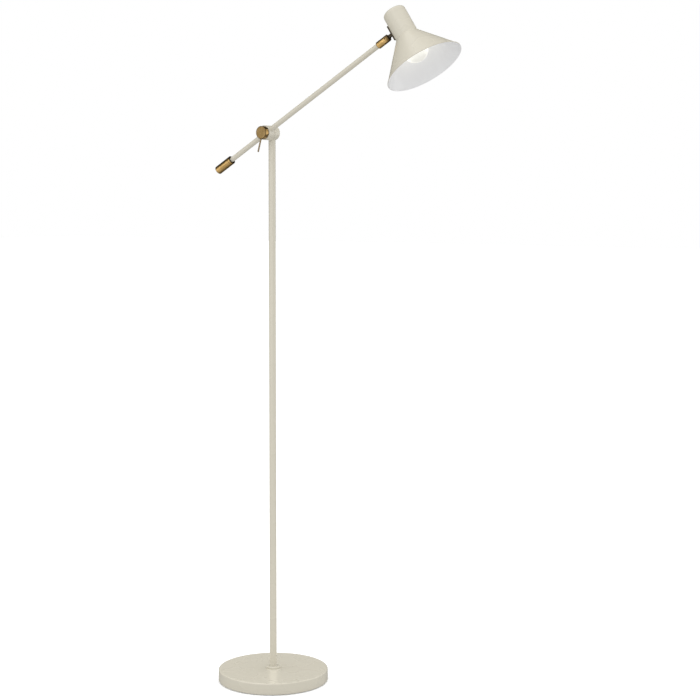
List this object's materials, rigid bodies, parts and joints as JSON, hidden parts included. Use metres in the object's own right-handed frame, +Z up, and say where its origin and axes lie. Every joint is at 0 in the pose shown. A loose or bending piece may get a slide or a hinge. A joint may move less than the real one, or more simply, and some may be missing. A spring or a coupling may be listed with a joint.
{
  "type": "adjustable arm floor lamp",
  "caption": "Floor lamp with a round weighted base, slim post, tilting counterweighted arm with a clamp knob, and a cone shade that swivels and tilts.",
  "frame": {"origin": "on the floor under the middle of the round base, on the axis of the post", "axes": "+Z up along the post; the arm lies in the XZ direction with the shade towards +X; the clamp knob faces -Y"},
  "size_m": [0.6405, 0.255, 1.5294],
  "materials": {
    "cream_enamel": "satin cream powder coat",
    "brass": "aged brushed brass",
    "plain_brass": "plain brass contact metal",
    "cast_iron": "as cast",
    "rubber": "matt black",
    "nylon": "natural nylon",
    "holder_plastic": "white thermoset",
    "bulb_glass": "opal, lit warm",
    "bulb_metal": "nickelled screw shell",
    "lead_sheath": "soft round lead",
    "dark_steel": "dark bronzed steel",
    "zinc_steel": "zinc plated"
  },
  "bodies": {
    "stand": {"base_pad": "rubber", "base_cover": "zinc_steel", "base_cover_screws": "zinc_steel", "base_weight": "cast_iron", "base_shell": "cream_enamel", "cable_gland": "rubber", "post_nipple": "zinc_steel", "post_washer": "zinc_steel", "post_nut": "zinc_steel", "post_collar": "cream_enamel", "post_foot_bush": "zinc_steel", "post_tube": "cream_enamel", "post_lead": "lead_sheath", "post_top_bush": "zinc_steel", "post_top_stud": "zinc_steel", "pivot_block_rear": "cream_enamel", "rear_cover_cap": "cream_enamel", "pivot_spindle": "zinc_steel", "spindle_lock_screw": "zinc_steel", "friction_washer_rear": "nylon"},
    "arm": {"pivot_block_front": "cream_enamel", "arm_lock_screw": "zinc_steel", "friction_washer_front": "nylon", "arm_tube": "cream_enamel", "counterweight": "brass", "counterweight_screw": "zinc_steel", "arm_spigot": "brass", "arm_lead": "lead_sheath"},
    "clamp": {"clamp_knob": "brass", "clamp_lever": "brass"},
    "swivel": {"swivel_sleeve": "brass", "sleeve_screw": "zinc_steel", "tilt_pin": "zinc_steel"},
    "head": {"tilt_tongue": "brass", "saddle_plate": "dark_steel", "saddle_screws": "dark_steel", "saddle_nuts": "zinc_steel", "shade_cap": "cream_enamel", "shade_cone": "cream_enamel", "holder_bracket": "zinc_steel", "holder_nipple": "zinc_steel", "holder_nut": "zinc_steel", "holder_body": "holder_plastic", "holder_shell": "plain_brass", "holder_contact": "plain_brass", "shade_ring": "holder_plastic"},
    "bulb": {"bulb_glass": "bulb_glass", "bulb_thread": "bulb_metal", "bulb_insulator": "holder_plastic", "bulb_contact": "plain_brass"}
  },
  "joints": [
    {"name": "arm_tilt", "type": "hinge", "parent": "stand", "child": "arm", "pos_m": [0, -0.0199, 1.269], "axis": [0, -1, 0], "range_deg": [-90, 54]},
    {"name": "clamp_turn", "type": "hinge", "parent": "stand", "child": "clamp", "pos_m": [0, -0.0357, 1.269], "axis": [0, -1, 0], "range_deg": [-60, 60]},
    {"name": "head_swivel", "type": "hinge", "parent": "arm", "child": "swivel", "pos_m": [0.31019, -0.0199, 1.45171], "axis": [0.8616, 0, 0.5075], "range_deg": [-160, 160]},
    {"name": "head_tilt", "type": "hinge", "parent": "swivel", "child": "head", "pos_m": [0.32483, -0.0199, 1.46034], "axis": [0, 1, 0], "range_deg": [-80, 54]},
    {"name": "bulb_unscrew", "type": "slide", "parent": "head", "child": "bulb", "axis": [0.5519, 0, -0.8339], "range_m": [0, 0.06]}
  ]
}
